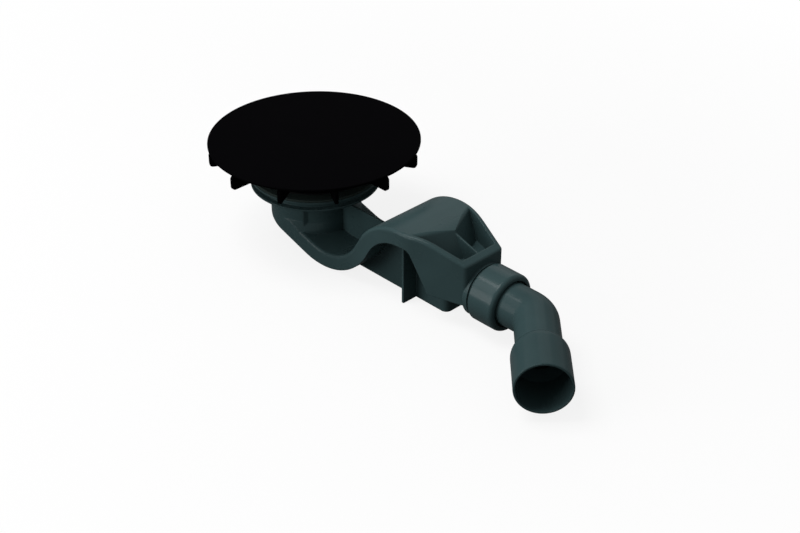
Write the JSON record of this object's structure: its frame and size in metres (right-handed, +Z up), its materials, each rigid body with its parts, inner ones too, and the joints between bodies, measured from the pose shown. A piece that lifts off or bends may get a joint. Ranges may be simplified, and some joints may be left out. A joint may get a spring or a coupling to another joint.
{
  "type": "shower trap",
  "caption": "Low shower trap: round cover on a tray clamp flange, flat moulded body with a dipping and rising water-seal duct on a foot, nut union and swivelling angled outlet bend.",
  "frame": {"origin": "on the inlet axis, in the plane where the tray rests on its seal", "axes": "+Z up along the inlet axis, +X along the trap towards the outlet, the bend turned to -Y at rest"},
  "size_m": [0.4708, 0.2008, 0.1],
  "materials": {
    "black_plastic": "fine-grained matt moulding",
    "grey_plastic": "satin moulding, dark green-grey",
    "strainer_plastic": "satin moulding",
    "rubber": "matt rubber"
  },
  "bodies": {
    "trap": {"drain_cover": "black_plastic", "clamp_flange": "black_plastic", "clamp_gasket": "rubber", "hair_strainer": "strainer_plastic", "tray_seal": "rubber", "trap_body": "grey_plastic", "cone_seal": "rubber", "slip_ring": "grey_plastic", "outlet_nut": "grey_plastic"},
    "bend": {"outlet_bend": "grey_plastic"}
  },
  "joints": [
    {"name": "bend_swivel", "type": "hinge", "parent": "trap", "child": "bend", "pos_m": [0.2495, 0, -0.033], "axis": [1, 0, 0], "continuous": true}
  ]
}
